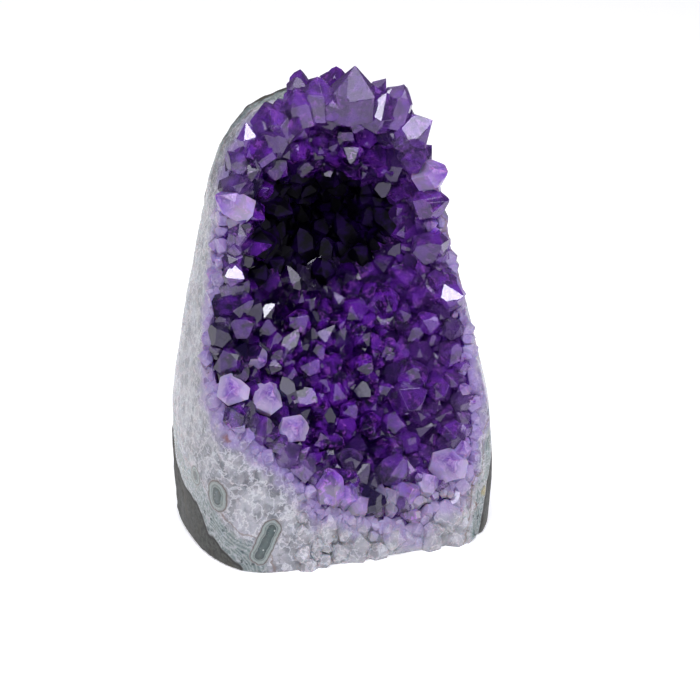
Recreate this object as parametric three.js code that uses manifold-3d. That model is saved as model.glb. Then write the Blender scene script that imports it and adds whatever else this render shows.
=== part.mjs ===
// Amethyst geode, ground smooth outside and cut flat underneath so that it stands on its base.
// Millimetres, +Z up. The open crystal face looks along -Y, and +X is to the right of that face.
import * as THREE from "three";
import { mergeVertices } from "three/addons/utils/BufferGeometryUtils.js";
import Module from "manifold-3d";

const wasm = await Module();
wasm.setup();

const radians = THREE.MathUtils.degToRad;

// ---- Driving dimensions ----------------------------------------------------------------------

const GAP = 0.3; // clearance between neighbouring pieces
const SINK = 12; // how far the stone is drawn below its base before the base is cut

// Outside of the nodule before it was cut open: half width against height, base to top.
const PROFILE = new THREE.SplineCurve(
  [
    [49, -SINK],
    [51.5, 0],
    [53, 24],
    [52.5, 50],
    [48.5, 82],
    [44, 106],
    [40, 128],
    [34, 143],
    [25, 153],
    [13, 158],
    [0, 159.5],
  ].map(([half, z]) => new THREE.Vector2(half, z)),
);
const ROUNDNESS = 2.7; // exponent of the cross-section: 2 is an ellipse, more is squarer
const RIGHT = { base: 1.06, top: 0.87 }; // share of the half width reached on each side
const LEFT = { base: 1.03, top: 0.99 };
const FORWARD = 0.95; // front reach over half width, before the cut
const BACKWARD = 0.86; // back reach over half width
const CUT = { base: 41, lean: 0.21, rounding: 9 }; // open face: how far forward, lean, edge radius

const BASALT = 2.4; // rind thickness on the sides and back
const AGATE = 2.8; // banded chalcedony lining inside the rind
const OVERCUT = 3; // how far the layers are carried outside the open part of the stone
const RIND_FADE = radians(16);
const AMETHYST = 5; // crust that the crystals are rooted in

const COLUMNS = 48;
const ROWS = 15;

// ---- Helpers -----------------------------------------------------------------------------------

const mix = THREE.MathUtils.lerp;
const smooth = THREE.MathUtils.smoothstep;
const bell = (x, width) => Math.exp(-((x / width) ** 2));

function solidOf(geometry) {
  const bare = geometry.clone();
  bare.deleteAttribute("normal");
  bare.deleteAttribute("uv");
  const merged = mergeVertices(bare, 1e-3);
  const triVerts = new Uint32Array(merged.index.array);
  const make = () =>
    new wasm.Manifold(
      new wasm.Mesh({ numProp: 3, vertProperties: merged.attributes.position.array, triVerts }),
    );
  const solid = make();
  if (solid.volume() > 0) return solid;
  for (let i = 0; i < triVerts.length; i += 3) {
    [triVerts[i + 1], triVerts[i + 2]] = [triVerts[i + 2], triVerts[i + 1]];
  }
  return make();
}

function geometryOf(solid) {
  const { vertProperties, triVerts, numProp, numVert } = solid.getMesh();
  const position = new Float32Array(numVert * 3);
  for (let i = 0; i < numVert; i++) {
    position.set(vertProperties.subarray(i * numProp, i * numProp + 3), i * 3);
  }
  const geometry = new THREE.BufferGeometry();
  geometry.setAttribute("position", new THREE.BufferAttribute(position, 3));
  geometry.setIndex(new THREE.BufferAttribute(triVerts, 1));
  return geometry;
}

// A sphere's grid bent into a shape: place(around, up) gives a point for 0..1 round and 0..1 from bottom to top.
function bent(columns, rows, place) {
  const sphere = new THREE.SphereGeometry(1, columns, rows);
  const { position, uv } = sphere.attributes;
  for (let i = 0; i < position.count; i++) {
    const row = Math.round(uv.getY(i) * rows);
    const column = Math.round(uv.getX(i) * columns) % columns;
    const [x, y, z] = place(column / columns, row / rows);
    position.setXYZ(i, x, y, z);
  }
  return solidOf(sphere);
}

// ---- The stone's layers ------------------------------------------------------------------------

// Angles run from the front (-Y), positive to the right.
function noduleRadius(half, z, angle) {
  if (half < 1e-6) return 0;
  const side = Math.sin(angle) > 0 ? RIGHT : LEFT;
  const width = half * mix(side.base, side.top, smooth(z, 10, 135));
  const depth = half * (Math.cos(angle) > 0 ? FORWARD : BACKWARD);
  const across = Math.abs(Math.sin(angle)) / width;
  const along = Math.abs(Math.cos(angle)) / depth;
  return (across ** ROUNDNESS + along ** ROUNDNESS) ** (-1 / ROUNDNESS);
}

// Distance from the axis to the cut face; the blend rounds the edge where the two surfaces meet.
function groundRadius(half, z, angle) {
  const nodule = noduleRadius(half, z, angle);
  if (Math.cos(angle) < 0.05) return nodule;
  const face = (CUT.base - CUT.lean * z) / Math.cos(angle);
  const share = Math.max(0, CUT.rounding - Math.abs(nodule - face)) / CUT.rounding;
  return Math.max(0, Math.min(nodule, face) - (share * share * CUT.rounding) / 4);
}

// Angle at which grinding has cut through the rind on each side; low down it comes round to the front.
const rindEdge = (angle, z) =>
  angle < 0
    ? radians(mix(52, 116, smooth(z, 0, 42)))
    : radians(mix(50, 78, smooth(z, 5, 60)));

// Turns a layer's depth inside the nodule into a height above it wherever the layer is ground away.
function grounded(depth, angle, z) {
  const edge = rindEdge(angle, z);
  const kept = smooth(Math.abs(angle), edge - RIND_FADE, edge + RIND_FADE / 2);
  return mix(-OVERCUT, depth, Math.max(kept, smooth(z, 156, 159)));
}

// A closed surface of rings round the axis: depthOf(angle, z) inside the nodule, out to radiusOf.
function layer(depthOf, radiusOf) {
  return bent(COLUMNS, ROWS, (around, up) => {
    const angle = (around - 0.5) * 2 * Math.PI;
    if (up === 0) return [0, 0, -SINK];
    const along = (up * ROWS - 1) / (ROWS - 1);
    const at = PROFILE.getPointAt(along);
    const run = PROFILE.getTangentAt(along);
    const depth = depthOf(angle, at.y);
    const half = Math.max(0, at.x - depth * run.y);
    const reach = along === 1 ? 0 : radiusOf(half, at.y, angle);
    return [reach * Math.sin(angle), -reach * Math.cos(angle), at.y + depth * run.x];
  });
}
const inside = (depth) => layer((angle, z) => grounded(depth, angle, z), noduleRadius);

const standing = solidOf(new THREE.BoxGeometry(400, 400, 400).translate(0, 0, 200));
const stone = layer(() => 0, groundRadius).intersect(standing);
const insideRind = inside(BASALT);
const outsideAgate = inside(BASALT + GAP);
const insideAgate = inside(BASALT + AGATE);
const outsideQuartz = inside(BASALT + AGATE + GAP);

// ---- The crystal-lined hollow ------------------------------------------------------------------

// Edge of the crystal lining on the front face, as x and z, clockwise from the top.
const LINING_EDGE = new THREE.CatmullRomCurve3(
  [
    [-2, 161],
    [18, 155],
    [30, 142],
    [35, 120],
    [40, 90],
    [44, 58],
    [43, 26],
    [27, 11],
    [9, 7],
    [-14, 17],
    [-32, 37],
    [-50, 59],
    [-51, 80],
    [-46, 99],
    [-42, 122],
    [-36, 142],
    [-22, 155],
  ].map(([x, z]) => new THREE.Vector3(x, 0, z)),
  true,
);
const LINING_CENTRE = new THREE.Vector2(-2, 88);
const BASIN = 11; // depth of the shallow part
const HOLLOW = { x: -3, z: 109, depth: 32, width: 22, height: 20 };

function frontFace(x, z) {
  const half = PROFILE.getPointAt(heightFraction(z)).x;
  let [near, far] = [0, 120];
  for (let i = 0; i < 24; i++) {
    const y = (near + far) / 2;
    const angle = Math.atan2(x, y);
    if (Math.hypot(x, y) < groundRadius(half, z, angle)) near = y;
    else far = y;
  }
  return -near;
}

function heightFraction(z) {
  let low = 0;
  let high = 1;
  for (let i = 0; i < 30; i++) {
    const middle = (low + high) / 2;
    if (PROFILE.getPointAt(middle).y < z) low = middle;
    else high = middle;
  }
  return low;
}

// How far the root surface of the crystals lies behind the front face.
const liningDepth = (x, z, share) =>
  BASIN * (1 - share ** 4) +
  HOLLOW.depth * bell(x - HOLLOW.x, HOLLOW.width) * bell(z - HOLLOW.z, HOLLOW.height);

const LINING_COLUMNS = 34;
const LINING_ROWS = 9;

// Everything in front of the root surface, moved back by behind and widened by wider.
function opening(behind, wider) {
  return bent(LINING_COLUMNS, LINING_ROWS, (around, up) => {
    const edge = LINING_EDGE.getPoint(around);
    const dx = edge.x - LINING_CENTRE.x;
    const dz = edge.z - LINING_CENTRE.y;
    const stretch = 1 + wider / Math.hypot(dx, dz);
    const share = Math.min(1, (1 - up) * (LINING_ROWS / (LINING_ROWS - 1)));
    if (up === 0) return [LINING_CENTRE.x, -120, LINING_CENTRE.y];
    const x = LINING_CENTRE.x + dx * share * stretch;
    const z = LINING_CENTRE.y + dz * share * stretch;
    if (up * LINING_ROWS < 1.5) return [x, -120, z];
    const y = frontFace(LINING_CENTRE.x + dx * share, LINING_CENTRE.y + dz * share) - 1.5;
    return [x, y + liningDepth(x, z, share) + behind, z];
  });
}

const roots = opening(0, 0);
const behindAmethyst = opening(AMETHYST, 3);
const inFrontOfQuartz = opening(AMETHYST + GAP, 3 + GAP);
const grownStone = layer(
  () => -GAP,
  (half, z, angle) => groundRadius(half, z, angle) + GAP,
);

// ---- Crystals ----------------------------------------------------------------------------------

const ROOT = 4; // how far a crystal starts behind the root surface
const TIP = 0.6; // height of the six-sided point over the crystal's width
const TAPER = 0.84; // width at the root over width at the shoulder
const SEED = 5;
const LARGE = { count: 38, width: [7.5, 11.5], slender: [0.95, 1.3], apart: 0.86 };
const SMALL = { count: 64, width: [4.5, 7], slender: [0.8, 1.2], apart: 0.85 };

// The crystals that stand out one by one: root on the lining, width, length, and where the tip leans.
const FEATURES = {
  peak: { x: 5, z: 153, width: 17, length: 16, lean: [0.05, -0.3, 0.8] },
  peak_left: { x: -6.5, z: 153, width: 9.5, length: 14, lean: [-0.1, -0.3, 0.8] },
  peak_outer: { x: -13, z: 151, width: 9, length: 12, lean: [-0.15, -0.15, 0.8] },
  peak_right: { x: 15, z: 147, width: 11, length: 13, lean: [0.1, -0.4, 0.75] },
  peak_behind: { x: 20, z: 149, width: 8, length: 12, lean: [0.2, -0.1, 0.8] },
  shoulder_left: { x: -20, z: 147, width: 9, length: 11, lean: [-0.3, -0.3, 0.8] },
  shoulder_far: { x: -28, z: 140, width: 9, length: 10, lean: [-0.4, -0.4, 0.6] },
  shoulder_right: { x: 25, z: 141, width: 12, length: 13, lean: [0.45, -0.5, 0.5] },
  rim_high: { x: 30, z: 128, width: 10, length: 11, lean: [0.5, -0.7, 0.3] },
  rim_pale: { x: 31, z: 117, width: 11, length: 11, lean: [0.4, -0.8, 0.3] },
  rim_hexagon: { x: 32, z: 104, width: 12, length: 12, lean: [0.1, -0.9, 0.2] },
  rim_low: { x: 36, z: 86, width: 10, length: 10, lean: [0.3, -0.8, 0.3] },
  middle: { x: 16, z: 83, width: 10, length: 13, lean: [-0.2, -0.7, 0.5] },
  bright: { x: 17, z: 49, width: 13, length: 14, lean: [0.4, -0.7, 0.5] },
  lower_right: { x: 30, z: 27, width: 12, length: 12, lean: [0.1, -0.7, 0.5] },
  pale_left: { x: -43, z: 63, width: 12, length: 10, lean: [-0.3, -0.8, 0.4] },
  pale_middle: { x: -32, z: 57, width: 12, length: 10, lean: [0, -0.8, 0.5] },
  pale_low: { x: -24, z: 46, width: 12, length: 11, lean: [0, -0.8, 0.5] },
};

const random = seeded(SEED);
function seeded(seed) {
  let state = seed;
  return () => {
    state = (state + 0x6d2b79f5) | 0;
    let t = Math.imul(state ^ (state >>> 15), 1 | state);
    t = (t + Math.imul(t ^ (t >>> 7), 61 | t)) ^ t;
    return ((t ^ (t >>> 14)) >>> 0) / 4294967296;
  };
}
const between = ([low, high]) => mix(low, high, random());

// How far out from the middle of the lining a point is, where 1 is the lining's edge.
const edgePoints = LINING_EDGE.getPoints(120);
function shareAt(x, z) {
  const bearing = Math.atan2(z - LINING_CENTRE.y, x - LINING_CENTRE.x);
  const turnFrom = (p) => {
    const other = Math.atan2(p.z - LINING_CENTRE.y, p.x - LINING_CENTRE.x);
    return Math.abs(Math.atan2(Math.sin(other - bearing), Math.cos(other - bearing)));
  };
  const edge = edgePoints.reduce((best, p) => (turnFrom(p) < turnFrom(best) ? p : best));
  const out = Math.hypot(x - LINING_CENTRE.x, z - LINING_CENTRE.y);
  return out / Math.hypot(edge.x - LINING_CENTRE.x, edge.z - LINING_CENTRE.y);
}

function rootPoint(x, z) {
  const share = Math.min(1, shareAt(x, z));
  return new THREE.Vector3(x, frontFace(x, z) - 1.5 + liningDepth(x, z, share), z);
}

function outOfLining(x, z) {
  const step = 1.5;
  const across = (rootPoint(x + step, z).y - rootPoint(x - step, z).y) / (2 * step);
  const upward = (rootPoint(x, z + step).y - rootPoint(x, z - step).y) / (2 * step);
  return new THREE.Vector3(across, -1, upward).normalize();
}

// A six-sided prism with a lopsided point, standing on the lining; grow fattens it all round.
function crystalSolid({ at, toward, width, length, turn, lopsided }, grow = 0) {
  const radius = width / 2 + grow;
  const tip = length + grow * 1.6;
  const shoulder = Math.max(0.5, tip - 2 * radius * TIP);
  const outline = [
    [0, -ROOT - grow],
    [radius * TAPER, -ROOT - grow],
    [radius, shoulder],
    [0, tip],
  ];
  const lathe = new THREE.LatheGeometry(outline.map(([r, y]) => new THREE.Vector2(r, y)), 6);
  const { position } = lathe.attributes;
  for (let i = 0; i < position.count; i++) {
    if (position.getY(i) > shoulder + 1e-3) position.setX(i, lopsided * width);
  }
  const aim = new THREE.Quaternion().setFromUnitVectors(new THREE.Vector3(0, 1, 0), toward);
  lathe.rotateY(turn).applyQuaternion(aim).translate(at.x, at.y, at.z);
  return solidOf(lathe);
}

function crystalAt(x, z, width, length, toward) {
  return {
    at: rootPoint(x, z),
    toward: toward.normalize(),
    width,
    length,
    turn: random() * Math.PI,
    lopsided: mix(-0.14, 0.14, random()),
  };
}

// Scatters crystals over the lining, none nearer its neighbours than their widths allow.
function scatter({ count, width, slender, apart }, taken, reach) {
  const found = [];
  for (let tries = 0; tries < 6000 && found.length < count; tries++) {
    const edge = LINING_EDGE.getPoint(random());
    const share = Math.sqrt(random()) * reach;
    const x = mix(LINING_CENTRE.x, edge.x, share);
    const z = mix(LINING_CENTRE.y, edge.z, share);
    const size = between(width) * (1 - 0.3 * bell(Math.hypot(x - HOLLOW.x, z - HOLLOW.z), 22));
    const at = rootPoint(x, z);
    const fits = (other) => at.distanceTo(other.at) > (apart * (size + other.width)) / 2;
    const toward = outOfLining(x, z).add(
      new THREE.Vector3(random() - 0.5, 0.5 * (random() - 0.5), random() - 0.2).multiplyScalar(0.8),
    );
    if (![...taken, ...found].every(fits)) continue;
    found.push(crystalAt(x, z, size, size * between(slender), toward));
  }
  return found;
}

const features = Object.entries(FEATURES).map(([name, { x, z, width, length, lean }]) => ({
  name: `crystal_${name}`,
  ...crystalAt(x, z, width, length, new THREE.Vector3(...lean)),
}));
const scattered = scatter(LARGE, features, 0.9)
  .sort((a, b) => b.width - a.width)
  .map((crystal, i) => ({ name: `crystal_${String(i + 1).padStart(2, "0")}`, ...crystal }));
const crystals = [...features, ...scattered];
const smallCrystals = scatter(SMALL, crystals, 0.95);

// ---- Assembly ----------------------------------------------------------------------------------

const MATERIALS = {
  basalt: new THREE.MeshStandardMaterial({ color: 0x62645c, roughness: 0.55, metalness: 0 }),
  agate: new THREE.MeshStandardMaterial({ color: 0x8fa3a0, roughness: 0.25, metalness: 0 }),
  quartz: new THREE.MeshStandardMaterial({ color: 0xc9c6cc, roughness: 0.3, metalness: 0 }),
  amethyst: new THREE.MeshStandardMaterial({ color: 0x5a2a8c, roughness: 0.12, metalness: 0 }),
};

const geode = new THREE.Group();
function add(name, solid, material) {
  const mesh = new THREE.Mesh(geometryOf(largestBody(solid)), MATERIALS[material].clone());
  mesh.name = name;
  geode.add(mesh);
}

function largestBody(solid) {
  return solid.decompose().sort((a, b) => b.volume() - a.volume())[0];
}

const nearby = (a, b) => a.at.distanceTo(b.at) < a.length + b.length + ROOT;

function bed() {
  const crust = stone.intersect(behindAmethyst).intersect(outsideQuartz).subtract(roots);
  const notBed = grownStone.subtract(behindAmethyst.intersect(outsideQuartz));
  const upright = smallCrystals.map((small) =>
    crystals
      .filter((large) => nearby(small, large))
      .reduce((solid, large) => solid.subtract(crystalSolid(large, GAP)), crystalSolid(small)),
  );
  return wasm.Manifold.union([crust, ...upright]).subtract(notBed);
}

function standingCrystal(crystal, earlier) {
  const rock = grownStone.subtract(opening(-GAP, -GAP));
  const clear = earlier.filter((other) => nearby(crystal, other));
  return clear.reduce(
    (solid, other) => solid.subtract(crystalSolid(other, GAP)),
    crystalSolid(crystal).subtract(rock),
  );
}

add("basalt_rind", stone.subtract(insideRind), "basalt");
add("agate_band", stone.intersect(outsideAgate).subtract(insideAgate), "agate");
add("quartz_wall", stone.intersect(outsideQuartz).subtract(inFrontOfQuartz), "quartz");
add("amethyst_bed", bed(), "amethyst");
crystals.forEach((crystal, i) => {
  add(crystal.name, standingCrystal(crystal, crystals.slice(0, i)), "amethyst");
});

// The origin is the middle of the base.
const extent = new THREE.Box3().setFromObject(geode);
const middle = extent.getCenter(new THREE.Vector3());
geode.position.set(-middle.x, -middle.y, -extent.min.z);

export default geode;
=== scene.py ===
"""An amethyst geode standing on its cut base. Metres, +Z up, the crystal face looks along -Y."""

import itertools
import math
import random

import bmesh
import bpy
import numpy as np
from mathutils import Matrix, Vector, noise
from mathutils.bvhtree import BVHTree


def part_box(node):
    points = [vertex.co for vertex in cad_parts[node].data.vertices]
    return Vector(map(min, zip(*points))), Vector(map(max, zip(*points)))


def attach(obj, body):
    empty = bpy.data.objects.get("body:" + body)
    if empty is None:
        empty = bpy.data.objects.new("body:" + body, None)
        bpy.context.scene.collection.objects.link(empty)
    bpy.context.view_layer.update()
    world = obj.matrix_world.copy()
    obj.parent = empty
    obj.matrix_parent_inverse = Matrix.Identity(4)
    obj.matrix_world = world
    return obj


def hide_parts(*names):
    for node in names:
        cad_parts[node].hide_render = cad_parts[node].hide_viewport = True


MM = 0.001
SEED = 4

# ---- Driving dimensions ------------------------------------------------------------------------

STONE_NODES = ("basalt_rind", "agate_band", "quartz_wall")
STONE_VOXEL = 1.0 * MM
STONE_SMOOTHING = 10
STONE_EDGE = 32  # degrees; edges of the stone sharper than this stay crisp
CRUST_VOXEL = 1.2 * MM
CRUST_SMOOTHING = 24
CRUST_EDGE = 18  # and of the crust
CRUST_SWELL = 0.5 * MM  # the crust reaches into the quartz wall that it grew on
CLOSE_GAP = 0.2 * MM  # swelling that closes the clearance between the layers
WELD = 0.002 * MM

# Druse between the large crystals: how many at most, width across in mm, closeness and tilt.
DRUSE = [
    {"count": 230, "width": (7.5, 11.5), "apart": 0.62, "tilt": 0.8},
    {"count": 300, "width": (5.2, 7.5), "apart": 0.56, "tilt": 0.8},
    {"count": 420, "width": (3.0, 5.2), "apart": 0.5, "tilt": 0.8},
]
UPWARD = 0.75  # how much the crystals lean up out of the basin
# Milky points on the quartz wall: round the rim of the lining, and the broken zone low on the front.
RIM_POINTS = {"count": 240, "width": (3.6, 8.0), "apart": 0.55, "tilt": 0.7}
BROKEN_POINTS = {"count": 150, "width": (4.5, 11.0), "apart": 0.6, "tilt": 0.9}
RIM_SUNK = 0.75  # how deep these two kinds are rooted, as shares of their width
BROKEN_SUNK = 0.72
RIM_WIDTH = 3.2  # how far over the wall the points reach, in mm, low down
RIM_WIDTH_TOP = 11.0  # and at the top
TOP_RIM = 122 * MM  # above this height the points over the wall are amethyst
TOP_RIM_FULL = 146 * MM  # and at this one they reach their full width over it
BROKEN = {"left": -24 * MM, "foot": 3 * MM, "top": 26 * MM, "fade": 10 * MM}
RIND_SMOOTHING = 60
PIT = 6 * MM  # spacing of the pits in the rind
RIND_SIDE = -1.5  # layer value, in mm, below which no light soaks in
LUMP = 4.5 * MM  # size of the lumps in the broken quartz
SHAPES = 24  # different crystal shapes to choose from
TRIES = 25  # places tried for each crystal asked for, as most are taken
REACH = 2.6  # diameter of the room that a small crystal can take up, in widths
LARGE_WIDTH = 0.94  # width across the flats of a large crystal against that across its corners
SUNK = 0.42  # how much of a crystal's width its root lies below the surface
POINT_SLOPE = math.radians(51.8)  # tilt of a quartz point's faces from the crystal's cross-section
EDGE_CLEAR = 0.6 * MM  # no druse nearer the quartz wall than this
EDGE_SHARE = 0.38  # nor nearer than this share of its width, below the top
GRID = 5 * MM  # cells that the placed crystals are sorted into, to find neighbours
BEVEL = 0.12 * MM  # wear on the edges of the large crystals
ROOTED = 2 * MM  # corners of a large crystal closer to the bed than this are its root
SAME_FACE = 0.02 * MM  # a face of the druse closer to a crystal than this is that crystal's own
# The hollow: crystals inside this ellipsoid are painted nearly black, as painted shade.
HOLLOW = Vector((-8, -4, 112)) * MM
HOLLOW_REACH = Vector((29, 26, 17)) * MM
# The basin's crystals get painted shade, darker from the rim inwards and towards the left: where that starts
# and is complete.
PAINTED_SHADE_FROM = -37 * MM
PAINTED_SHADE_TO = -25 * MM
PAINTED_SHADE_LEFTWARD = 0.28
MILKY_FROM = 0.45  # crystals paler than this scatter light inside

# Degrees from straight in front and up; the distance is in metres and the lens in millimetres.
CAMERA_AZIMUTH = -20
CAMERA_ELEVATION = 22
CAMERA_DISTANCE = 0.9
LENS = 132.4
AIM = Vector((0, 0, 0.085))
AIM_RIGHT = 7.4 * MM  # how far the camera looks beside and above the aim
AIM_UP = -21.0 * MM
AMBIENT = 0.12  # strength of the light from the white surroundings
FLOOR = 0.85  # half the width of the floor
COOL = (0.89, 0.89, 1.0)

RUST = (0.16, 0.045, 0.03)
IRON = (0.75, 0.22, 0.13)
MOSS = (0.28, 0.21, 0.04)

# ---- Marks on the ground surface -----------------------------------------------------------------

# Agate eyes in the polished quartz, each round a short line.
EYES = [
    {"from": (-0.0548, -0.0155, 0.0290), "to": (-0.0548, -0.0155, 0.0290), "radius": 3.7 * MM},
    {"from": (-0.0492, -0.0280, 0.0252), "to": (-0.0486, -0.0280, 0.0278), "radius": 4.9 * MM},
    {"from": (-0.0346, -0.0367, 0.0155), "to": (-0.0386, -0.0367, 0.0066), "radius": 3.5 * MM},
]


def stain_at(place, radius, colour):
    """A round stain, which is a mark whose line has no length."""
    return {"from": place, "to": place, "radius": radius, "colour": colour}


STAINS = [
    stain_at((-0.0401, -0.0304, 0.0499), 3.0 * MM, RUST),
    stain_at((-0.0471, -0.0293, 0.0478), 1.8 * MM, RUST),
    stain_at((0.0443, -0.0351, 0.0161), 2.4 * MM, MOSS),
    stain_at((0.0383, -0.0365, 0.0126), 1.8 * MM, RUST),
]

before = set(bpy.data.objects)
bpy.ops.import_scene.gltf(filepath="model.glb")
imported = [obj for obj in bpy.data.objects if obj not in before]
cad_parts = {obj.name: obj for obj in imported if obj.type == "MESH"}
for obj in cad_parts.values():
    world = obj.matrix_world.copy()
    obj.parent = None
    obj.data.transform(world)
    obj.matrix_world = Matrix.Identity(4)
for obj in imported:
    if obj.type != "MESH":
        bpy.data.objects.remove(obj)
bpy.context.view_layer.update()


# ---- Mesh helpers --------------------------------------------------------------------------------


def node_mesh(node):
    """A bmesh of one CAD node with its vertices welded."""
    bm = bmesh.new()
    bm.from_mesh(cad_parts[node].data)
    bmesh.ops.remove_doubles(bm, verts=bm.verts, dist=WELD)
    return bm


def swollen(nodes, amount):
    """The nodes together as one mesh, each swollen a little so that they run into each other."""
    together = bpy.data.meshes.new("together")
    bm = bmesh.new()
    for node in nodes:
        one = node_mesh(node)
        one.normal_update()
        for vert in one.verts:
            vert.co += vert.normal * amount
        one.to_mesh(together)
        one.free()
        bm.from_mesh(together)
    bm.to_mesh(together)
    bm.free()
    return together


def add_object(name, mesh):
    piece = bpy.data.objects.new(name, mesh)
    bpy.context.scene.collection.objects.link(piece)
    return piece


def baked(piece):
    """Applies the modifiers on a piece."""
    graph = bpy.context.evaluated_depsgraph_get()
    mesh = bpy.data.meshes.new_from_object(piece.evaluated_get(graph))
    piece.modifiers.clear()
    piece.data = mesh
    return piece


def dress(piece, material):
    """Gives the whole piece one material."""
    piece.data.materials.clear()
    piece.data.materials.append(material)
    piece.data.polygons.foreach_set("material_index", [0] * len(piece.data.polygons))


def remeshed(piece, voxel, smoothing):
    """Makes one closed, even mesh of a piece and rounds it off."""
    remesh = piece.modifiers.new("remesh", "REMESH")
    remesh.mode = "VOXEL"
    remesh.voxel_size = voxel
    smooth = piece.modifiers.new("smooth", "SMOOTH")
    smooth.factor = 0.5
    smooth.iterations = smoothing
    return baked(piece)


def tree_of(node):
    """The surface of one CAD node, for finding the nearest point on it."""
    bm = node_mesh(node)
    tree = BVHTree.FromBMesh(bm)
    bm.free()
    return tree


def coordinates(mesh):
    flat = np.empty(len(mesh.vertices) * 3, dtype=np.float32)
    mesh.vertices.foreach_get("co", flat)
    return flat.reshape(-1, 3)


def normals(mesh):
    flat = np.empty(len(mesh.vertices) * 3, dtype=np.float32)
    mesh.vertices.foreach_get("normal", flat)
    return flat.reshape(-1, 3)


def distances(tree, points):
    return np.array([tree.find_nearest(Vector(p))[3] for p in points], dtype=np.float32)


def paint(mesh, name, values, domain="POINT"):
    """Stores one number per point or corner for the materials to read."""
    layer = mesh.attributes.new(name, "FLOAT", domain)
    layer.data.foreach_set("value", np.asarray(values, dtype=np.float32))


def shade_by_angle(mesh, angle):
    """Smooth shading that stays crisp across edges sharper than angle."""
    mesh.polygons.foreach_set("use_smooth", [True] * len(mesh.polygons))
    mesh.set_sharp_from_angle(angle=math.radians(angle))


def smoothstep(low, high, x):
    t = np.clip((x - low) / (high - low), 0, 1)
    return t * t * (3 - 2 * t)


# ---- The stone -----------------------------------------------------------------------------------


def broken_zone(points):
    """1 where the quartz low on the front is broken into points, 0 where it is ground."""
    low = smoothstep(BROKEN["top"] + BROKEN["fade"], BROKEN["top"] - BROKEN["fade"], points[:, 2])
    return low * smoothstep(BROKEN["left"] - BROKEN["fade"], BROKEN["left"] + BROKEN["fade"], points[:, 0])


def smooth_rind(stone, fields):
    """Rounds the natural rind, but neither the flat base nor the ground faces."""
    share = smoothstep(0, -2, fields["layer"])
    share = share * smoothstep(1 * MM, 8 * MM, coordinates(stone.data)[:, 2])
    group = stone.vertex_groups.new(name="rind")
    for i in np.nonzero(share > 0.01)[0]:
        group.add([int(i)], float(share[i]), "REPLACE")
    smooth = stone.modifiers.new("smooth", "SMOOTH")
    smooth.factor = 0.5
    smooth.iterations = RIND_SMOOTHING
    smooth.vertex_group = "rind"
    baked(stone)
    stone.vertex_groups.clear()


def weather(mesh, fields):
    """Grinding leaves the faces gently uneven; the broken quartz is lumpy and the rind knobbly and pitted."""
    points = coordinates(mesh)
    outward = normals(mesh)
    rough = broken_zone(points) * smoothstep(3, 6, fields["layer"])
    rough *= smoothstep(0.5, 0.9, -outward[:, 1])
    standing = smoothstep(0.5 * MM, 3 * MM, points[:, 2])
    knobbly = smoothstep(-2, -3, fields["layer"]) * smoothstep(-15 * MM, 10 * MM, points[:, 1])
    for i, point in enumerate(points):
        at = Vector(point)
        lift = 0.35 * noise.noise(at / (14 * MM)) + 0.1 * noise.noise(at / (4 * MM))
        if rough[i] > 0.01:
            crest = noise.voronoi(at / LUMP)[0][0]
            lift += rough[i] * (1.1 - 2.2 * crest)
        if knobbly[i] > 0.01:
            pit = max(0.0, 0.45 - noise.voronoi(at / PIT)[0][0])
            knob = 0.7 * noise.noise(at / (11 * MM)) + 0.3 * noise.noise(at / (3 * MM))
            lift += knobbly[i] * (knob - 2 * pit)
        points[i] += outward[i] * lift * standing[i] * MM
    mesh.vertices.foreach_set("co", points.ravel())
    mesh.update()


def layer_values(mesh):
    """The painted layer value of each point."""
    values = np.empty(len(mesh.vertices), dtype=np.float32)
    mesh.attributes["layer"].data.foreach_get("value", values)
    return values


def layer_fields(mesh):
    """How far each point is across the layers, and from the crystal lining, in millimetres."""
    points = coordinates(mesh)
    to_rind = distances(tree_of("basalt_rind"), points)
    to_wall = distances(tree_of("quartz_wall"), points)
    to_bed = distances(tree_of("amethyst_bed"), points)
    return {"layer": (to_rind - to_wall) / MM, "lining": to_bed / MM}


def spots_on(polygons):
    """The middle and the normal of each face."""
    return [(Vector(p.center), Vector(p.normal)) for p in polygons]


def rim_ground(mesh, fields):
    """Spots on the quartz wall close to the crystal lining, reaching further over it at the top."""
    near = fields["lining"]
    front = [p for p in mesh.polygons if p.normal.dot(FACE_NORMAL) > 0.3]

    def within(p):
        top = smoothstep(TOP_RIM, TOP_RIM_FULL, p.center.z)
        return 0.2 < near[p.vertices[0]] < RIM_WIDTH + (RIM_WIDTH_TOP - RIM_WIDTH) * top

    return spots_on(p for p in front if within(p))


def broken_ground(mesh, fields):
    """Spots low on the front of the quartz wall, where it is broken into points."""
    share = broken_zone(coordinates(mesh)) * smoothstep(4, 7, fields["layer"])
    front = [p for p in mesh.polygons if p.normal.dot(FACE_NORMAL) > 0.75]
    return spots_on(p for p in front if share[p.vertices[0]] > 0.5 and p.center.z > BROKEN["foot"])


def on_surface(surface, marks):
    """The eyes and stains with their ends moved onto the stone's surface."""
    moved = []
    for mark in marks:
        ends = {end: surface.find_nearest(Vector(mark[end]))[0] for end in ("from", "to")}
        moved.append({**mark, **ends})
    return moved


def dress_stone(stone):
    """One material over the cut stone, in a milky and an opaque version."""
    surface = BVHTree.FromObject(stone, bpy.context.evaluated_depsgraph_get())
    eyes, stains = on_surface(surface, EYES), on_surface(surface, STAINS)
    dress(stone, stone_material("stone", 0.35, eyes, stains))
    stone.data.materials.append(stone_material("stone_rind", 0.0, eyes, stains))
    layer = layer_values(stone.data)
    for poly in stone.data.polygons:
        if layer[poly.vertices[0]] < RIND_SIDE:
            poly.material_index = 1


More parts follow.
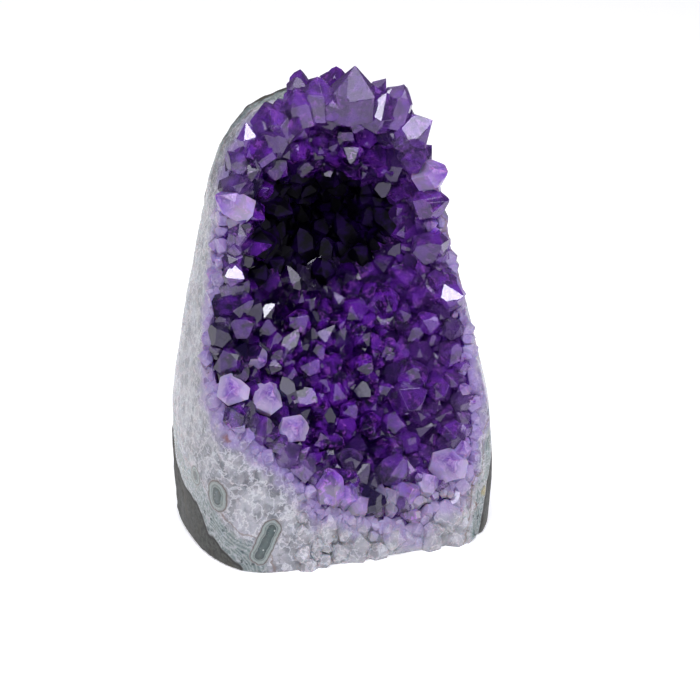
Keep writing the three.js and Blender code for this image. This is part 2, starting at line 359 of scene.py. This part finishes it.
def grow_points(stone, fields, rim):
    """Stands the milky points on the wall, low round the rim and in the broken zone."""
    rng = random.Random(SEED + 2)
    shapes = [crystal_shape(rng) for _ in range(SHAPES)]
    low_rim = [spot for spot in rim if spot[0].z < TOP_RIM]
    points = scatter(low_rim, [RIM_POINTS], shapes, rng, sunk=RIM_SUNK)
    points += scatter(broken_ground(stone.data, fields), [BROKEN_POINTS], shapes, rng, sunk=BROKEN_SUNK)
    unite(stone, points)


def make_stone():
    """The rock in one piece. Returns the spots over the wall at the top, where amethyst grows instead."""
    stone = add_object("stone", swollen(STONE_NODES, CLOSE_GAP))
    remeshed(stone, STONE_VOXEL, STONE_SMOOTHING)
    fields = layer_fields(stone.data)
    smooth_rind(stone, fields)
    weather(stone.data, fields)
    rim = rim_ground(stone.data, fields)
    grow_points(stone, fields, rim)
    cut_at_floor(stone)
    for name, values in layer_fields(stone.data).items():
        paint(stone.data, name, values)
    shade_by_angle(stone.data, STONE_EDGE)
    dress_stone(stone)
    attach(stone, "root")
    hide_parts(*STONE_NODES)
    return [spot for spot in rim if spot[0].z > TOP_RIM]


# ---- Crystals ------------------------------------------------------------------------------------


def face_direction():
    """Which way the cut face looks."""
    bm = node_mesh("quartz_wall")
    front = [f for f in bm.faces if f.normal.y < -0.93 and f.normal.z > 0.1]
    facing = sum((f.normal * f.calc_area() for f in front), Vector())
    bm.free()
    return facing.normalized()


FACE_NORMAL = face_direction()
WALL_TREE = tree_of("quartz_wall")


def paleness(at, rng):
    """Crystals at the rim of the basin are milky lavender; those further in are saturated violet."""
    rim = WALL_TREE.find_nearest(at)[3] / MM
    low = smoothstep(60 * MM, 15 * MM, at.z)
    high = smoothstep(120 * MM, 145 * MM, at.z)
    share = smoothstep(5 + 4 * low, 1, rim) * (0.75 + 0.25 * low - 0.5 * high)
    corner = smoothstep(30 * MM, 18 * MM, at.z) * smoothstep(-4 * MM, 12 * MM, at.x)
    share = max(share, 1.4 * corner)
    return float(np.clip(share * rng.uniform(0.2, 1.2), 0, 1))


def crystal_planes(rng, height):
    """A place and an outward direction for each face: the foot, then each side and its point face."""
    planes = [(Vector((0, 0, 0)), Vector((0, 0, -1)))]
    for k in range(6):
        turn = k * math.pi / 3
        out = Vector((math.cos(turn), math.sin(turn), 0))
        planes.append((out * rng.uniform(0.36, 0.5), out))
        drop = (0.0 if k % 2 else rng.uniform(0.0, 0.2)) + rng.uniform(0, 0.07)
        slope = Vector((0, 0, math.cos(POINT_SLOPE))) + out * math.sin(POINT_SLOPE)
        planes.append((Vector((0, 0, height + drop)), slope))
    return planes


def cut_off(bm, place, outward):
    """Cuts away what lies outside a plane and closes the cut."""
    cut = bmesh.ops.bisect_plane(
        bm,
        geom=bm.verts[:] + bm.edges[:] + bm.faces[:],
        plane_co=place,
        plane_no=outward,
        clear_outer=True,
    )
    rim = [e for e in cut["geom_cut"] if isinstance(e, bmesh.types.BMEdge)]
    if rim:
        bmesh.ops.contextual_create(bm, geom=rim)


def crystal_shape(rng, height=None):
    """A quartz crystal one unit across along +Z, root at z = 0: six prism and six point faces."""
    bm = bmesh.new()
    bmesh.ops.create_cube(bm, size=4)
    for place, outward in crystal_planes(rng, height or rng.uniform(0.85, 1.3)):
        cut_off(bm, place, outward)
    bmesh.ops.remove_doubles(bm, verts=bm.verts, dist=0.01)
    bmesh.ops.recalc_face_normals(bm, faces=bm.faces)
    bm.verts.index_update()
    points = [v.co.copy() for v in bm.verts]
    faces = [[v.index for v in f.verts] for f in bm.faces]
    bm.free()
    return {"points": points, "faces": faces, "height": max(p.z for p in points)}


def add_crystal(bm, crystal):
    """Adds a crystal to bm and returns its faces."""
    shape = crystal["shape"]
    place = crystal_place(crystal)
    corners = [bm.verts.new(place @ point) for point in shape["points"]]
    return [bm.faces.new([corners[i] for i in face]) for face in shape["faces"]]


def crystal_place(crystal):
    """Where the crystal's shape goes, its root sunk below the surface that it stands on."""
    size = crystal["width"]
    spin = crystal["toward"].to_track_quat("Z", "Y").to_matrix() @ Matrix.Rotation(crystal["turn"], 3, "Z")
    sunk = crystal["at"] - crystal["toward"] * crystal["sunk"] * size
    return Matrix.Translation(sunk) @ (spin.to_4x4() @ Matrix.Scale(size, 4))


def lining_surface():
    """The crystal bed without its points: a crust to root the druse in."""
    crust = add_object("crystal_bed", swollen(["amethyst_bed"], CRUST_SWELL))
    return remeshed(crust, CRUST_VOXEL, CRUST_SMOOTHING)


def crowded(at, width, apart, grid, key):
    """Whether a crystal would stand too close to one in its own or a nearby cell of the grid."""
    for step in itertools.product(range(-2, 3), repeat=3):
        cell = tuple(k + d for k, d in zip(key, step))
        for other in grid.get(cell, ()):
            if (at - other["at"]).length < apart * (width + other["width"]) / 2:
                return True
    return False


def scatter(ground, kinds, shapes, rng, sunk=SUNK, blocked=lambda at, width: False):
    """Where each small crystal stands on the ground spots, which way it points, its size and shape."""
    found = []
    grid = {}
    for kind in kinds:
        made = 0
        for _ in range(kind["count"] * TRIES):
            if made >= kind["count"]:
                break
            at, normal = rng.choice(ground)
            width = rng.uniform(*kind["width"]) * MM
            key = tuple(int(math.floor(c / GRID)) for c in at)
            if blocked(at, width) or crowded(at, width, kind["apart"], grid, key):
                continue
            tilt = Vector([rng.gauss(0, 0.5) for _ in range(3)]) * kind["tilt"]
            crystal = {
                "at": at,
                "toward": (normal + Vector((0, 0, UPWARD)) + tilt).normalized(),
                "width": width,
                "sunk": sunk,
                "turn": rng.uniform(0, math.pi),
                "shape": rng.choice(shapes),
                "tint": rng.random(),
                "pale": paleness(at, rng),
            }
            found.append(crystal)
            grid.setdefault(key, []).append(crystal)
            made += 1
    return found


def scatter_druse(crust, top_rim, large):
    """The small crystals that fill the crust between the large ones and run over the wall at the top."""
    rng = random.Random(SEED)
    shapes = [crystal_shape(rng) for _ in range(SHAPES)]
    facing = [p for p in crust.data.polygons if p.normal.dot(FACE_NORMAL) > -0.15 and p.normal.y < 0.25]
    lining = [spot for spot in spots_on(facing) if WALL_TREE.find_nearest(spot[0])[3] > EDGE_CLEAR]

    def blocked(at, width):
        over_wall = at.z < TOP_RIM and WALL_TREE.find_nearest(at)[3] < EDGE_SHARE * width
        return over_wall or large.find_nearest(at)[3] < 0.1 * width

    return scatter(lining + top_rim, DRUSE, shapes, rng, blocked=blocked)


def in_batches(crystals):
    """Sorts crystals into groups in which none touches another, so that each group is a clean solid."""
    batches = []
    for crystal in crystals:
        at, reach = crystal["at"], REACH * crystal["width"]
        for batch in batches:
            if all((at - other["at"]).length > (reach + REACH * other["width"]) / 2 for other in batch):
                batch.append(crystal)
                break
        else:
            batches.append([crystal])
    return batches


def combine(piece, operation, mesh):
    """Joins a closed mesh to a piece, or keeps only what is inside it."""
    operand = add_object("operand", mesh)
    change = piece.modifiers.new("combine", "BOOLEAN")
    change.operation = operation
    change.solver = "MANIFOLD"
    change.object = operand
    baked(piece)
    bpy.data.objects.remove(operand)


def unite(piece, crystals):
    """Joins the crystals to a piece, a batch at a time."""
    for batch in in_batches(crystals):
        bm = bmesh.new()
        for crystal in batch:
            add_crystal(bm, crystal)
        mesh = bpy.data.meshes.new("batch")
        bm.to_mesh(mesh)
        bm.free()
        combine(piece, "UNION", mesh)


def cut_at_floor(piece):
    """Takes off whatever lies below the flat base."""
    bm = bmesh.new()
    bmesh.ops.create_cube(bm, size=1, matrix=Matrix.Translation((0, 0, 0.5)))
    mesh = bpy.data.meshes.new("above")
    bm.to_mesh(mesh)
    bm.free()
    combine(piece, "INTERSECT", mesh)


def paint_crystals(mesh, crystals):
    """Writes on each face which crystal it belongs to: height along it, tint and paleness."""
    bm = bmesh.new()
    owner = []
    for i, crystal in enumerate(crystals):
        owner += [i] * len(add_crystal(bm, crystal))
    tree = BVHTree.FromBMesh(bm)
    bm.free()
    along = np.zeros(len(mesh.loops))
    tint = np.full(len(mesh.loops), 0.5)
    pale = np.zeros(len(mesh.loops))
    for poly in mesh.polygons:
        _, _, face, gap = tree.find_nearest(poly.center)
        if gap > SAME_FACE:
            continue
        crystal = crystals[owner[face]]
        full = crystal["width"] * crystal["shape"]["height"]
        foot = crystal["at"] - crystal["toward"] * crystal["sunk"] * crystal["width"]
        for loop in poly.loop_indices:
            point = mesh.vertices[mesh.loops[loop].vertex_index].co
            along[loop] = (point - foot).dot(crystal["toward"]) / full
            tint[loop] = crystal["tint"]
            pale[loop] = crystal["pale"]
    paint(mesh, "along", along, "CORNER")
    paint(mesh, "tint", tint, "CORNER")
    paint(mesh, "pale", pale, "CORNER")


def in_hollow(at):
    """How far out a place is in the hollow: 0 at the middle, 1 at its edge."""
    away = at - HOLLOW
    return Vector([away[k] / HOLLOW_REACH[k] for k in range(3)]).length


def crystal_nodes():
    return sorted(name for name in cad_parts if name.startswith("crystal_"))


def large_crystals_tree():
    """The surfaces of all the large crystals together."""
    together = bmesh.new()
    for name in crystal_nodes():
        together.from_mesh(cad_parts[name].data)
    tree = BVHTree.FromBMesh(together)
    together.free()
    return tree


def dress_bed(bed):
    """Clear amethyst, but painted nearly black in the hollow as painted shade, and milky where the crystals
    are pale.
    """
    dress(bed, amethyst_material())
    bed.data.materials.append(painted_shade_material())
    bed.data.materials.append(milky_material())
    pale = np.empty(len(bed.data.loops), dtype=np.float32)
    bed.data.attributes["pale"].data.foreach_get("value", pale)
    for poly in bed.data.polygons:
        # painted shade: faces in the hollow take the nearly black material
        if in_hollow(poly.center) < 1:
            poly.material_index = 1
        elif pale[poly.loop_start] > MILKY_FROM:
            poly.material_index = 2


def make_bed(top_rim):
    """The crust with all its small crystals, in one piece."""
    large = large_crystals_tree()
    bed = lining_surface()
    druse = scatter_druse(bed, top_rim, large)
    unite(bed, druse)
    paint_crystals(bed.data, druse)
    shade_by_angle(bed.data, CRUST_EDGE)
    dress_bed(bed)
    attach(bed, "root")
    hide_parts("amethyst_bed")


def crystal_axis(node, bed_tree):
    """The foot, the tip and the width of one of the large crystals."""
    bm = node_mesh(node)
    reach = {v: bed_tree.find_nearest(v.co)[3] for v in bm.verts}
    tip = max(reach, key=reach.get).co.copy()
    rooted = [v.co for v in bm.verts if reach[v] < ROOTED]
    foot = sum(rooted, Vector()) / len(rooted)
    toward = (tip - foot).normalized()
    across = max(((v.co - tip) - toward * (v.co - tip).dot(toward)).length for v in bm.verts)
    bm.free()
    return foot, tip, 2 * across


def crystal_material(crystal, tip):
    # painted shade: a crystal tipped in the hollow takes the nearly black material
    if in_hollow(tip) < 1:
        return painted_shade_material()
    return milky_material() if crystal["pale"] > MILKY_FROM else amethyst_material()


def large_crystal(node, foot, tip, width, rng):
    """A crystal from foot to tip with a shape of its own."""
    toward = (tip - foot).normalized()
    return {
        "at": foot,
        "toward": toward,
        "width": width,
        "sunk": 0,
        "shape": crystal_shape(rng, (tip - foot).length / width),
        "turn": rng.uniform(0, math.pi),
        "tint": rng.uniform(0, 0.75),
        "pale": 1.0 if node.startswith("crystal_pale") else paleness(tip - toward * width, rng),
    }


def worn_mesh(name, crystal):
    """The mesh of one crystal, its edges worn just enough to catch the light."""
    bm = bmesh.new()
    add_crystal(bm, crystal)
    bmesh.ops.recalc_face_normals(bm, faces=bm.faces)
    bmesh.ops.bevel(bm, geom=bm.edges[:], offset=BEVEL, affect="EDGES", clamp_overlap=True)
    mesh = bpy.data.meshes.new(name)
    bm.to_mesh(mesh)
    bm.free()
    return mesh


def paint_large_crystal(mesh, crystal):
    """Writes on each corner the height along the crystal, and its tint and paleness."""
    full = crystal["shape"]["height"] * crystal["width"]
    along = (coordinates(mesh) - np.array(crystal["at"])) @ np.array(crystal["toward"]) / full
    corner = np.empty(len(mesh.loops), dtype=np.int32)
    mesh.loops.foreach_get("vertex_index", corner)
    paint(mesh, "along", along[corner], "CORNER")
    paint(mesh, "tint", np.full(len(corner), crystal["tint"]), "CORNER")
    paint(mesh, "pale", np.full(len(corner), crystal["pale"]), "CORNER")


def make_large_crystal(node, bed_tree, rng):
    """One large crystal in place of its CAD node, between that node's own foot and tip."""
    foot, tip, width = crystal_axis(node, bed_tree)
    crystal = large_crystal(node, foot, tip, LARGE_WIDTH * width, rng)
    mesh = worn_mesh(node + "_fine", crystal)
    paint_large_crystal(mesh, crystal)
    piece = add_object(node + "_fine", mesh)
    dress(piece, crystal_material(crystal, tip))
    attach(piece, "root")
    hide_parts(node)


def make_large_crystals():
    rng = random.Random(SEED + 1)
    bed_tree = tree_of("amethyst_bed")
    for node in crystal_nodes():
        make_large_crystal(node, bed_tree, rng)


# ---- Materials -----------------------------------------------------------------------------------


class Shader:
    """A Principled material with short calls for the nodes that feed it."""

    def __init__(self, name, **settings):
        self.material = bpy.data.materials.new(name)
        self.material.use_nodes = True
        self.nodes = self.material.node_tree.nodes
        self.links = self.material.node_tree.links
        self.surface = self.nodes["Principled BSDF"]
        for socket, value in settings.items():
            self.surface.inputs[socket.replace("_", " ")].default_value = value
        self.place = self.nodes.new("ShaderNodeTexCoord").outputs["Object"]

    def feed(self, socket, value):
        if isinstance(value, bpy.types.NodeSocket):
            self.links.new(value, socket)
        else:
            socket.default_value = value

    def node(self, kind, inputs, output, **settings):
        node = self.nodes.new("ShaderNode" + kind)
        for key, value in settings.items():
            setattr(node, key, value)
        for key, value in inputs.items():
            self.feed(node.inputs[key], value)
        return node.outputs[output]

    def height(self):
        return self.node("SeparateXYZ", {"Vector": self.place}, "Z")

    def across(self):
        return self.node("SeparateXYZ", {"Vector": self.place}, "X")

    def painted(self, name):
        return self.node("Attribute", {}, "Fac", attribute_name=name)

    def noise(self, size, detail=4.0, roughness=0.55, distortion=0.0, output="Fac"):
        """Noise whose features are about size metres across."""
        inputs = {
            "Vector": self.place,
            "Scale": 1 / size,
            "Detail": detail,
            "Roughness": roughness,
            "Distortion": distortion,
        }
        return self.node("TexNoise", inputs, output)

    def cells(self, size, output="Distance", vector=None):
        """Cells about size metres across, each with a middle and a colour of its own."""
        inputs = {"Vector": vector or self.place, "Scale": 1 / size}
        return self.node("TexVoronoi", inputs, output)

    def math(self, operation, *values, clamp=False):
        inputs = dict(enumerate(values))
        return self.node("Math", inputs, "Value", operation=operation, use_clamp=clamp)

    def between(self, value, low, high):
        """0 below low, 1 above high, smooth between; low may be the larger."""
        inputs = {"Value": value, "From Min": low, "From Max": high}
        return self.node("MapRange", inputs, "Result", interpolation_type="SMOOTHSTEP")

    def mix(self, share, first, second):
        """The first colour where share is 0, the second where it is 1."""
        node = self.nodes.new("ShaderNodeMix")
        node.data_type = "RGBA"
        for key, value in ((0, share), (6, first), (7, second)):
            if isinstance(value, tuple):
                value = (*value, 1.0)
            self.feed(node.inputs[key], value)
        return node.outputs[2]

    def ramp(self, value, stops):
        """Colours at places along value."""
        node = self.nodes.new("ShaderNodeValToRGB")
        self.feed(node.inputs["Fac"], value)
        marks = node.color_ramp.elements
        while len(marks) < len(stops):
            marks.new(1.0)
        for mark, (place, colour) in zip(marks, stops):
            mark.position = place
            mark.color = (*colour, 1.0)
        return node.outputs["Color"]

    def stirred(self, amount, size):
        """The place moved about by up to amount, so that cells get uneven edges."""
        swirl = self.vector("SUBTRACT", self.noise(size, 3, output="Color"), (0.5, 0.5, 0.5))
        return self.vector("ADD", self.place, self.scaled(swirl, 4 * amount))

    def wavy(self, value, amount):
        """value with an uneven ripple of amount either way."""
        ripple = self.math("MULTIPLY_ADD", self.noise(6 * MM), 2 * amount, -amount)
        return self.math("ADD", value, ripple)

    def segment_distance(self, start, end):
        """Distance in metres to the line from start to end."""
        along = Vector(end) - Vector(start)
        from_start = self.vector("SUBTRACT", self.place, tuple(start))
        share = 0.0
        if along.length > 1e-9:
            dot = self.vector("DOT_PRODUCT", from_start, tuple(along), output="Value")
            share = self.math("DIVIDE", dot, along.length_squared, clamp=True)
        return self.vector("DISTANCE", from_start, self.scaled(tuple(along), share), output="Value")

    def vector(self, operation, first, second, output="Vector"):
        return self.node("VectorMath", {0: first, 1: second}, output, operation=operation)

    def scaled(self, vector, share):
        return self.node("VectorMath", {0: vector, "Scale": share}, "Vector", operation="SCALE")

    def bump(self, height, distance, strength):
        inputs = {"Height": height, "Distance": distance, "Strength": strength}
        self.feed(self.surface.inputs["Normal"], self.node("Bump", inputs, "Normal"))

    def colour(self, value):
        self.feed(self.surface.inputs["Base Color"], value)

    def roughness(self, value):
        self.feed(self.surface.inputs["Roughness"], value)


def painted_basin_shade(s):
    """Share of painted shade in the basin: 1 deep in the basin, 0 near the rim and at the top."""
    inward = -FACE_NORMAL - Vector((PAINTED_SHADE_LEFTWARD, 0, 0))
    depth = s.vector("DOT_PRODUCT", s.place, tuple(inward), output="Value")
    below_top = s.between(s.height(), 148 * MM, 126 * MM)
    return s.math("MULTIPLY", s.between(depth, PAINTED_SHADE_FROM, PAINTED_SHADE_TO), below_top)


def violet_colour(s, wisp):
    """Clear violet in clouds and wisps, with painted light on the right and at the top, and painted shade
    that makes it nearly black inwards.
    """
    cloud = s.noise(5 * MM, 3)
    colour = s.mix(s.between(cloud, 0.42, 0.6), (0.014, 0.0008, 0.06), (0.19, 0.02, 0.54))
    colour = s.mix(s.between(wisp, 0.52, 0.7), colour, (0.46, 0.10, 0.76))
    colour = s.mix(s.between(s.painted("tint"), 0.5, 1.0), colour, (0.012, 0.001, 0.06))
    # painted light: the violet is mixed lighter towards the right and the top
    right = s.between(s.across(), 4 * MM, 32 * MM)
    high = s.between(s.height(), 132 * MM, 156 * MM)
    painted_light = s.math("MULTIPLY", s.math("MAXIMUM", right, high), 0.3)
    colour = s.mix(painted_light, colour, (0.32, 0.12, 0.60))
    # painted shade: the crystals are mixed towards near-black deep in the basin and towards the left
    return s.mix(s.math("MULTIPLY", painted_basin_shade(s), 0.96), colour, (0.004, 0.0003, 0.022))


def lavender_colour(s, wisp):
    """Milky lavender, whiter towards the root, and mostly grey-white near the foot of the stone."""
    colour = s.mix(s.between(wisp, 0.35, 0.65), (0.17, 0.06, 0.42), (0.46, 0.31, 0.66))
    colour = s.mix(s.between(s.painted("along"), 0.3, 0.95), (0.62, 0.52, 0.74), colour)
    foot = s.math("MULTIPLY", s.between(s.height(), 32 * MM, 16 * MM), 0.85)
    return s.mix(foot, colour, (0.46, 0.45, 0.465))


def amethyst_material(name="amethyst", clear=0.65, glow=0.0):
    """Amethyst; clear is how much light passes straight through and glow how much scatters inside."""
    known = bpy.data.materials.get(name)
    if known:
        return known
    s = Shader(name, IOR=1.55, Transmission_Weight=clear, Roughness=0.04, Specular_IOR_Level=0.4)
    s.surface.inputs["Subsurface Weight"].default_value = glow
    s.surface.inputs["Subsurface Scale"].default_value = 4 * MM
    wisp = s.noise(2.2 * MM, 5, distortion=1.0)
    share = s.math("MULTIPLY", s.painted("pale"), 0.85)
    colour = s.mix(share, violet_colour(s, wisp), lavender_colour(s, wisp))
    iron = stain_at(box_middle("crystal_rim_pale"), 4 * MM, IRON)
    s.colour(stained(s, iron, colour))
    s.bump(s.noise(2.2 * MM, 2), 0.02 * MM, 0.3)
    return s.material


def box_middle(node):
    """The middle of a CAD node's box."""
    low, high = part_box(node)
    return tuple((Vector(low) + Vector(high)) / 2)


def milky_material():
    """Pale amethyst that light soaks into."""
    return amethyst_material("amethyst_milky", 0.25, 0.5)


def painted_shade_material():
    """The same amethyst deep in the hollow, its colour painted nearly black as painted shade, with dim rough
    reflections.
    """
    known = bpy.data.materials.get("amethyst_painted_shade")
    if known:
        return known
    s = Shader("amethyst_painted_shade", IOR=1.55, Roughness=0.45, Specular_IOR_Level=0.06)
    cloud = s.noise(5 * MM, 3)
    # painted shade: near-black colour where the hollow lies in shade
    s.colour(s.mix(s.between(cloud, 0.45, 0.65), (0.0006, 0.0001, 0.002), (0.008, 0.0008, 0.03)))
    s.bump(s.noise(2.2 * MM, 2), 0.02 * MM, 0.3)
    return s.material


def eye_rings(s, eye, ground):
    """An agate eye round a line: a dark core in a pale halo with a thin brown outline."""
    wobble = s.math("MULTIPLY_ADD", s.noise(2.2 * MM, 2), 1.2 * MM, -0.6 * MM)
    reach = s.math("ADD", s.segment_distance(eye["from"], eye["to"]), wobble)
    share = s.math("DIVIDE", reach, eye["radius"])
    rings = s.ramp(
        share,
        [
            (0.0, (0.075, 0.10, 0.095)),
            (0.40, (0.04, 0.056, 0.054)),
            (0.47, (0.19, 0.22, 0.21)),
            (0.57, (0.11, 0.14, 0.13)),
            (0.68, (0.26, 0.29, 0.27)),
            (0.82, (0.20, 0.23, 0.22)),
            (0.91, (0.085, 0.06, 0.05)),
            (1.0, (0.24, 0.23, 0.23)),
        ],
    )
    beads = s.between(s.cells(1.7 * MM), 0.24, 0.12)
    beads = s.math("MULTIPLY", beads, s.between(share, 0.42, 0.34))
    rings = s.mix(s.math("MULTIPLY", beads, 0.8), rings, (0.42, 0.44, 0.42))
    return s.mix(s.between(share, 1.1, 0.95), ground, rings)


def stone_material(name, glow, eyes, stains):
    """The cut stone; glow is how much light soaks in, none for basalt and more for milky quartz."""
    s = Shader(name, IOR=1.52, Subsurface_Weight=glow, Subsurface_Scale=1.8 * MM)
    layer = s.painted("layer")
    colour = cut_colour(s, layer)
    for stain in stains:
        colour = stained(s, stain, colour)
    for eye in eyes:
        colour = eye_rings(s, eye, colour)
    edge = s.wavy(layer, 0.5)
    basalt = s.between(edge, -2.5, -3.0)
    colour = s.mix(basalt, colour, basalt_colour(s))
    crack = s.math("ABSOLUTE", s.math("ADD", edge, 2.9))
    colour = s.mix(s.between(crack, 0.5, 0.1), colour, (0.012, 0.011, 0.009))
    s.colour(colour)
    grain = s.noise(0.7 * MM, 5)
    s.roughness(s.math("MULTIPLY_ADD", basalt, 0.4, s.math("MULTIPLY_ADD", grain, 0.25, 0.12)))
    pits = s.math("MULTIPLY", basalt, s.between(s.cells(1.1 * MM), 0.3, 0.0))
    sunk = s.math("ADD", pits, s.between(crack, 0.6, 0.0))
    s.bump(s.math("SUBTRACT", s.math("MULTIPLY", grain, 0.5), sunk), 0.15 * MM, 0.5)
    return s.material


def cut_colour(s, layer):
    """Quartz with the agate band outside it, wider low on the left, and a wavy brown line between them."""
    low = s.between(s.height(), 58 * MM, 22 * MM)
    left = s.between(s.across(), 5 * MM, -15 * MM)
    widening = s.math("MULTIPLY", s.math("MULTIPLY", low, left), 3.6)
    inward = s.math("SUBTRACT", s.wavy(layer, 2.2), widening)
    quartz = quartz_colour(s, s.painted("lining"))
    colour = s.mix(s.between(inward, 5.0, 2.6), quartz, agate_colour(s, layer))
    from_line = s.math("SUBTRACT", s.math("ADD", inward, s.noise(2 * MM, 3)), 6.2)
    brown = s.math("MULTIPLY", s.between(s.math("ABSOLUTE", from_line), 0.5, 0.05), 0.6)
    return s.mix(brown, colour, (0.17, 0.11, 0.085))


def quartz_colour(s, lining):
    """Milky quartz, sugary and part clear, turning lavender towards the lining."""
    warped = s.noise(9 * MM, 6, roughness=0.65, distortion=1.2)
    colour = s.mix(s.between(warped, 0.38, 0.62), (0.115, 0.12, 0.135), (0.31, 0.31, 0.33))
    grains = s.cells(2.6 * MM, output="Color", vector=s.stirred(1.4 * MM, 3 * MM))
    shade = s.node("SeparateColor", {"Color": grains}, "Red")
    colour = s.mix(s.math("MULTIPLY", shade, 0.4), colour, (0.40, 0.395, 0.415))
    # painted highlights: thin pale ridge lines, partly white veining in the quartz and partly painted
    # highlight
    ridge_highlight = s.math("ABSOLUTE", s.math("SUBTRACT", s.noise(4.5 * MM, 4, roughness=0.6), 0.5))
    colour = s.mix(s.math("MULTIPLY", s.between(ridge_highlight, 0.05, 0.0), 0.45), colour, (0.68, 0.67, 0.69))
    clear = s.between(s.noise(5 * MM, 4, distortion=0.8), 0.6, 0.75)
    colour = s.mix(s.math("MULTIPLY", clear, 0.5), colour, (0.13, 0.13, 0.145))
    lavender = s.mix(s.noise(3 * MM, 4, distortion=1.0), (0.15, 0.07, 0.32), (0.38, 0.29, 0.54))
    near = s.math("ADD", lining, s.math("MULTIPLY_ADD", s.noise(6 * MM, 3), 14.0, -7.0))
    colour = s.mix(s.math("MULTIPLY", s.between(near, 10.0, 1.5), 0.85), colour, lavender)
    low = s.between(s.height(), 32 * MM, 12 * MM)
    white = s.math("MULTIPLY", low, s.between(s.across(), -34 * MM, -8 * MM))
    colour = s.mix(s.math("MULTIPLY", white, 0.25), colour, (0.46, 0.45, 0.47))
    return s.mix(s.between(lining, 1.0, 0.4), colour, (0.05, 0.01, 0.16))


def agate_colour(s, layer):
    """Fine, uneven grey-green bands that follow the rind, with dark blobs of green agate."""
    bands = s.math("SINE", s.math("MULTIPLY", s.wavy(layer, 1.6), 4.0))
    colour = s.mix(s.between(bands, -0.6, 0.8), (0.12, 0.155, 0.15), (0.22, 0.25, 0.245))
    colour = s.mix(s.between(s.noise(2.2 * MM, 6, distortion=1.5), 0.48, 0.62), colour, (0.31, 0.325, 0.33))
    blobs = s.cells(3.4 * MM, vector=s.stirred(0.8 * MM, 2 * MM))
    return s.mix(s.between(blobs, 0.26, 0.16), colour, (0.05, 0.07, 0.068))


def basalt_colour(s):
    """Dark grey-green rock with a fine grain, pale specks and brown patches."""
    fine = s.noise(1.6 * MM, 8, roughness=0.7)
    colour = s.mix(s.between(fine, 0.38, 0.62), (0.012, 0.0125, 0.009), (0.055, 0.058, 0.048))
    colour = s.mix(s.between(s.cells(0.8 * MM), 0.2, 0.05), colour, (0.11, 0.115, 0.10))
    return s.mix(s.between(s.noise(9 * MM, 4), 0.5, 0.7), colour, (0.04, 0.034, 0.018))


def stained(s, stain, colour):
    """A ragged spot of iron stain or moss."""
    reach = s.segment_distance(stain["from"], stain["to"])
    ragged = s.math("MULTIPLY_ADD", s.noise(1.8 * MM, 5), 3.2 * MM, s.math("SUBTRACT", reach, 1.6 * MM))
    share = s.math("DIVIDE", ragged, stain["radius"])
    return s.mix(s.math("MULTIPLY", s.between(share, 1.1, 0.3), 0.75), colour, stain["colour"])


# ---- The studio ----------------------------------------------------------------------------------


def look_from(azimuth, elevation):
    """The direction from the stone towards a viewer; azimuth 0 is straight in front."""
    a, e = math.radians(azimuth), math.radians(elevation)
    return Vector((math.sin(a) * math.cos(e), -math.cos(a) * math.cos(e), math.sin(e)))


def make_camera():
    """A long lens that looks at the cut face from above and a little to the left."""
    back = look_from(CAMERA_AZIMUTH, CAMERA_ELEVATION)
    across = Vector((math.cos(math.radians(CAMERA_AZIMUTH)), math.sin(math.radians(CAMERA_AZIMUTH)), 0))
    upward = back.cross(across)
    target = AIM + across * AIM_RIGHT + upward * AIM_UP
    camera = bpy.data.objects.new("camera", bpy.data.cameras.new("camera"))
    camera.data.lens = LENS
    camera.location = target + back * CAMERA_DISTANCE
    camera.rotation_euler = back.to_track_quat("Z", "Y").to_euler()
    bpy.context.scene.collection.objects.link(camera)
    bpy.context.scene.camera = camera


def make_softbox(name, azimuth, elevation, distance, size, power, colour=(1, 1, 1)):
    """An area light that faces the stone."""
    light = bpy.data.lights.new(name, "AREA")
    light.shape = "RECTANGLE"
    light.size, light.size_y = size
    light.energy = power
    light.color = colour
    box = bpy.data.objects.new(name, light)
    toward = look_from(azimuth, elevation)
    box.location = AIM + toward * distance
    box.rotation_euler = toward.to_track_quat("Z", "Y").to_euler()
    bpy.context.scene.collection.objects.link(box)


def make_floor():
    """A plain white floor, glowing a little so that its far edge stays white."""
    bm = bmesh.new()
    bmesh.ops.create_grid(bm, x_segments=8, y_segments=8, size=FLOOR)
    mesh = bpy.data.meshes.new("floor")
    bm.to_mesh(mesh)
    bm.free()
    floor = add_object("floor", mesh)
    s = Shader("floor", Emission_Color=(1, 1, 1, 1), Emission_Strength=0.35)
    s.colour(s.mix(s.noise(0.5), (0.9, 0.9, 0.9), (0.93, 0.93, 0.93)))
    s.surface.inputs["Roughness"].default_value = 0.9
    mesh.materials.append(s.material)


def make_world():
    """A white backdrop that lights the room only dimly."""
    world = bpy.data.worlds.new("world")
    world.use_nodes = True
    nodes, links = world.node_tree.nodes, world.node_tree.links
    seen = nodes.new("ShaderNodeLightPath").outputs["Is Camera Ray"]
    strength = nodes.new("ShaderNodeMapRange")
    strength.inputs["To Min"].default_value = AMBIENT
    strength.inputs["To Max"].default_value = 1.0
    links.new(seen, strength.inputs["Value"])
    nodes["Background"].inputs["Color"].default_value = (1, 1, 1, 1)
    links.new(strength.outputs["Result"], nodes["Background"].inputs["Strength"])
    return world


def make_studio():
    """Soft light from above and both sides, a wide light from behind, the floor and the camera."""
    scene = bpy.context.scene
    scene.view_settings.view_transform = "Standard"
    scene.world = make_world()
    make_softbox("overhead", -15, 66, 0.9, (0.6, 0.6), 6, COOL)
    make_softbox("key", -38, 48, 0.9, (0.22, 0.22), 2.4, COOL)
    make_softbox("fill", 12, 40, 1.0, (0.34, 0.34), 1.4, COOL)
    make_softbox("left", -75, 30, 0.9, (0.25, 0.6), 1.0, COOL)
    make_softbox("right", 50, 30, 1.0, (0.3, 0.7), 3, COOL)
    make_softbox("backdrop", 180, 55, 1.8, (2.0, 2.0), 14)
    make_floor()
    make_camera()


make_bed(make_stone())
make_large_crystals()
make_studio()
